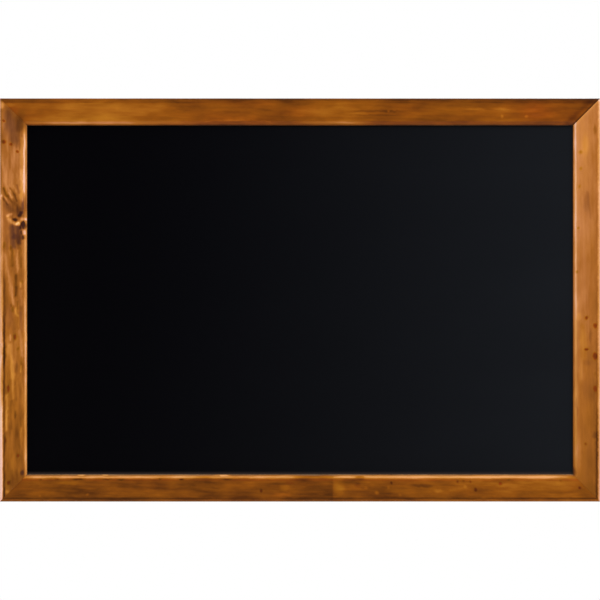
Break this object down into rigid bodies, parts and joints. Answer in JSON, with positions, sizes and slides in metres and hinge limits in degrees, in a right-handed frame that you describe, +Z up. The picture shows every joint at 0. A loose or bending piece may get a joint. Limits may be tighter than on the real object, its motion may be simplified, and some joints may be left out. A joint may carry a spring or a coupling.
{
  "type": "wall chalkboard",
  "caption": "Landscape wall chalkboard: black panel in a stained pine frame with mitred corners and a sight bevel, hung on swinging D-rings with rubber wall pads.",
  "frame": {"origin": "the middle of the board's outline, in the plane of the wall that its pads touch", "axes": "+X to the right as the board is looked at, +Y into the wall, +Z up; the writing face looks along -Y"},
  "size_m": [0.6, 0.0227, 0.403],
  "materials": {
    "rail_wood": "satin",
    "stile_wood": "satin",
    "chalk_black": "matte",
    "hardboard": "matte",
    "blue_steel": "satin",
    "zinc_plate": "satin",
    "pad_rubber": "matte"
  },
  "bodies": {
    "board": {"top_rail": "rail_wood", "bottom_rail": "rail_wood", "left_stile": "stile_wood", "right_stile": "stile_wood", "writing_sheet": "chalk_black", "panel_core": "hardboard", "top_left_v_nail_1": "blue_steel", "top_left_v_nail_2": "blue_steel", "top_right_v_nail_1": "blue_steel", "top_right_v_nail_2": "blue_steel", "bottom_right_v_nail_1": "blue_steel", "bottom_right_v_nail_2": "blue_steel", "bottom_left_v_nail_1": "blue_steel", "bottom_left_v_nail_2": "blue_steel", "top_rail_panel_point_1": "blue_steel", "top_rail_panel_point_2": "blue_steel", "top_rail_panel_point_3": "blue_steel", "top_rail_panel_point_4": "blue_steel", "right_stile_panel_point_1": "blue_steel", "right_stile_panel_point_2": "blue_steel", "right_stile_panel_point_3": "blue_steel", "bottom_rail_panel_point_1": "blue_steel", "bottom_rail_panel_point_2": "blue_steel", "bottom_rail_panel_point_3": "blue_steel", "bottom_rail_panel_point_4": "blue_steel", "left_stile_panel_point_1": "blue_steel", "left_stile_panel_point_2": "blue_steel", "left_stile_panel_point_3": "blue_steel", "left_hanger_strap": "zinc_plate", "left_hanger_screw": "zinc_plate", "right_hanger_strap": "zinc_plate", "right_hanger_screw": "zinc_plate", "left_wall_pad": "pad_rubber", "right_wall_pad": "pad_rubber"},
    "left_ring": {"left_hanger_ring": "zinc_plate"},
    "right_ring": {"right_hanger_ring": "zinc_plate"}
  },
  "joints": [
    {"name": "left_ring_swing", "type": "hinge", "parent": "board", "child": "left_ring", "pos_m": [-0.29, -0.0025, 0.1515], "axis": [-1, 0, 0], "range_deg": [0, 179]},
    {"name": "right_ring_swing", "type": "hinge", "parent": "board", "child": "right_ring", "pos_m": [0.29, -0.0025, 0.1515], "axis": [-1, 0, 0], "range_deg": [0, 179]}
  ]
}
